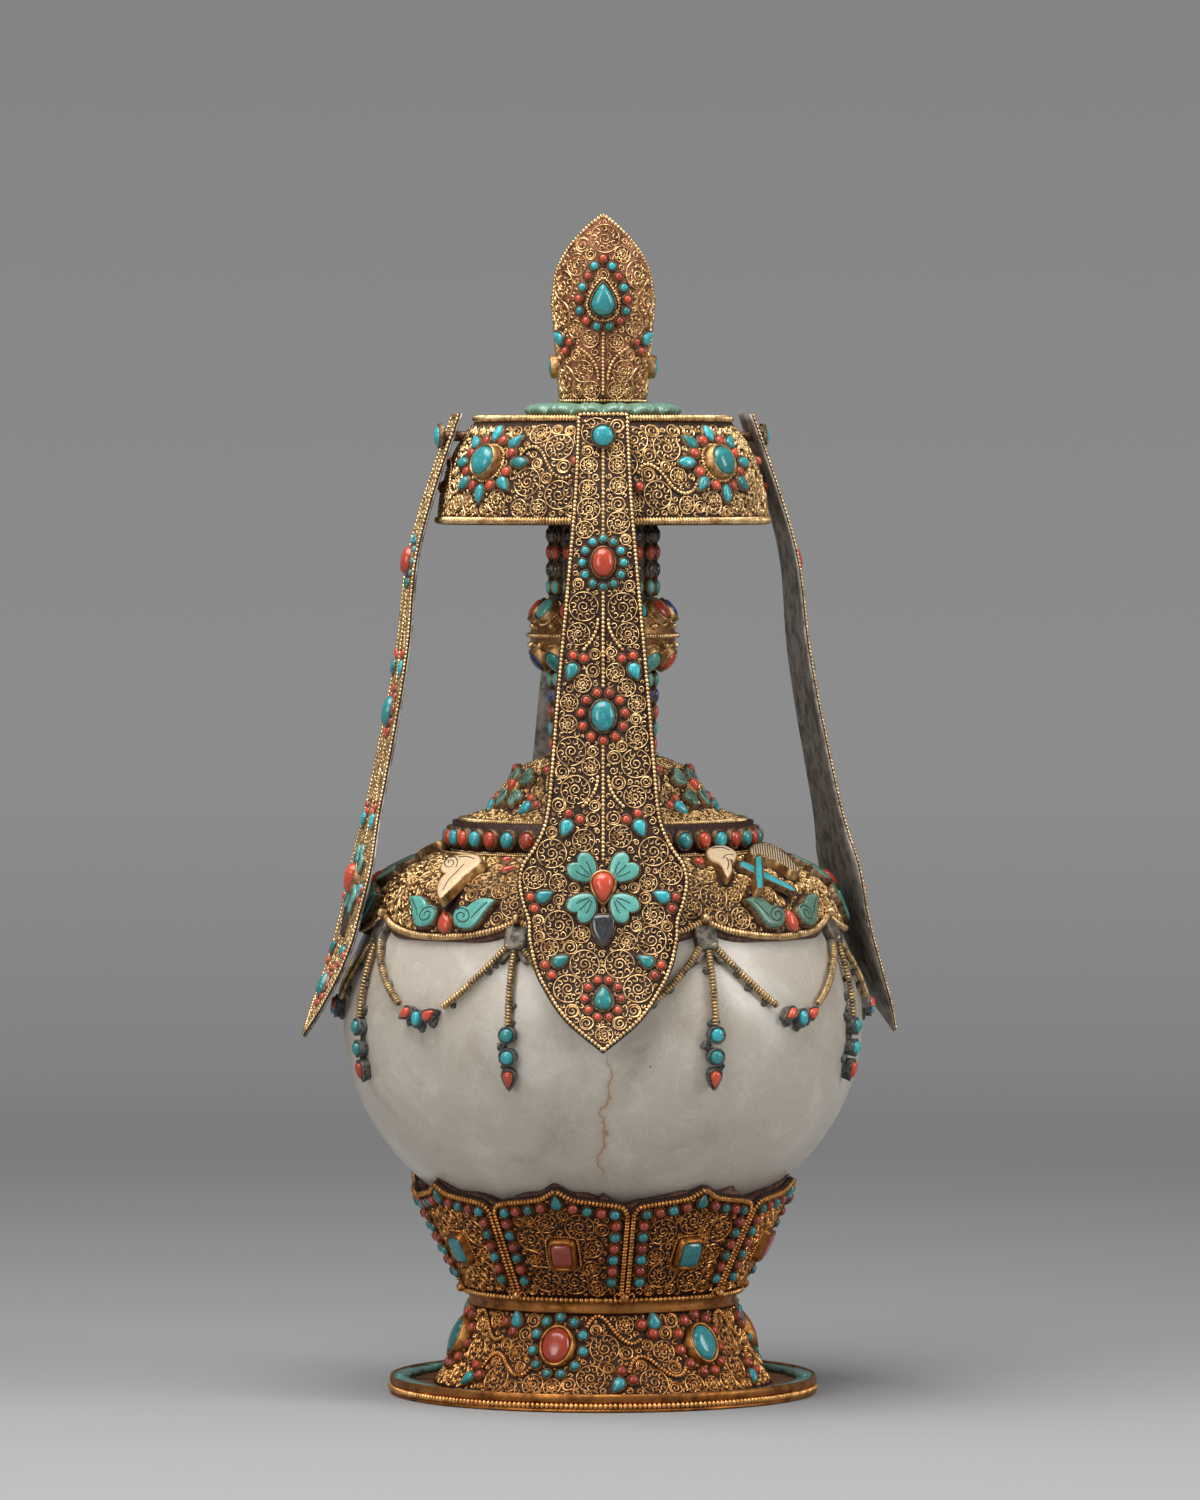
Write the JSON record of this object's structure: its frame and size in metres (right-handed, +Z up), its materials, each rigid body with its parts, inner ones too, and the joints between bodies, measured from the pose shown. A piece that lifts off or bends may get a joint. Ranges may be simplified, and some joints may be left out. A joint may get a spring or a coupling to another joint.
{
  "type": "tibetan bumpa vase",
  "caption": "Ritual water vase: quartz belly in gilt filigree mounts set with stones, stopper crowned with hanging lappets.",
  "frame": {"origin": "centre of the foot's underside", "axes": "+Z up, front towards -Y, +X to the viewer's right"},
  "size_m": [0.1789, 0.1815, 0.3534],
  "materials": {
    "gilt_brass": "gilt filigree over copper",
    "dark_brass": "darkened",
    "turquoise": "polished stone",
    "coral": "polished",
    "lapis": "polished stone",
    "bone": "satin",
    "resin": "rough",
    "quartz": "polished milky quartz"
  },
  "bodies": {
    "vase": {"foot_flange": "gilt_brass", "flange_inlay": "turquoise", "foot_cone": "gilt_brass", "foot_bezels": "gilt_brass", "foot_coral": "coral", "foot_turquoise": "turquoise", "waist_plate": "gilt_brass", "petal_cup": "gilt_brass", "petal_ribs": "gilt_brass", "petal_bezels": "gilt_brass", "petal_coral": "coral", "petal_turquoise": "turquoise", "cup_bedding": "resin", "crystal_body": "quartz", "shoulder_dome": "gilt_brass", "shoulder_scrolls": "turquoise", "shoulder_drops": "coral", "shoulder_emblems": "bone", "swag_clips": "dark_brass", "swag_wires": "gilt_brass", "swag_settings": "dark_brass", "swag_coral": "coral", "swag_turquoise": "turquoise", "collar_band": "gilt_brass", "collar_coral": "coral", "collar_turquoise": "turquoise", "neck": "gilt_brass", "neck_flowers": "turquoise", "neck_flower_centres": "coral", "bulb": "gilt_brass", "bulb_turquoise": "turquoise", "bulb_coral": "coral", "bulb_lapis": "lapis"},
    "canopy": {"stopper_plug": "gilt_brass", "stopper_stem": "gilt_brass", "crown_wall": "gilt_brass", "crown_top": "gilt_brass", "crown_bezels": "gilt_brass", "crown_turquoise": "turquoise", "lotus_ring": "turquoise", "finial": "gilt_brass", "finial_drops": "turquoise"},
    "lappet_front": {"lappet_front_plate": "gilt_brass", "lappet_front_pin": "gilt_brass", "lappet_front_coral": "coral", "lappet_front_turquoise": "turquoise"},
    "lappet_right": {"lappet_right_plate": "gilt_brass", "lappet_right_pin": "gilt_brass", "lappet_right_coral": "coral", "lappet_right_turquoise": "turquoise"},
    "lappet_back": {"lappet_back_plate": "gilt_brass", "lappet_back_pin": "gilt_brass", "lappet_back_coral": "coral", "lappet_back_turquoise": "turquoise"},
    "lappet_left": {"lappet_left_plate": "gilt_brass", "lappet_left_pin": "gilt_brass", "lappet_left_coral": "coral", "lappet_left_turquoise": "turquoise"}
  },
  "joints": [
    {"name": "canopy_lift", "type": "slide", "parent": "vase", "child": "canopy", "axis": [0, 0, 1], "range_m": [0, 0.08]},
    {"name": "lappet_front_swing", "type": "hinge", "parent": "canopy", "child": "lappet_front", "pos_m": [0, -0.046, 0.2871], "axis": [0, -1, 0], "range_deg": [-12, 12]},
    {"name": "lappet_right_swing", "type": "hinge", "parent": "canopy", "child": "lappet_right", "pos_m": [0.045, 0.00956, 0.2871], "axis": [0.9781, 0.2079, 0], "range_deg": [-12, 12]},
    {"name": "lappet_back_swing", "type": "hinge", "parent": "canopy", "child": "lappet_back", "pos_m": [-0.00401, 0.04582, 0.2871], "axis": [-0.0872, 0.9962, 0], "range_deg": [-12, 12]},
    {"name": "lappet_left_swing", "type": "hinge", "parent": "canopy", "child": "lappet_left", "pos_m": [-0.04555, -0.0064, 0.2871], "axis": [-0.9903, -0.1392, 0], "range_deg": [-12, 12]}
  ]
}
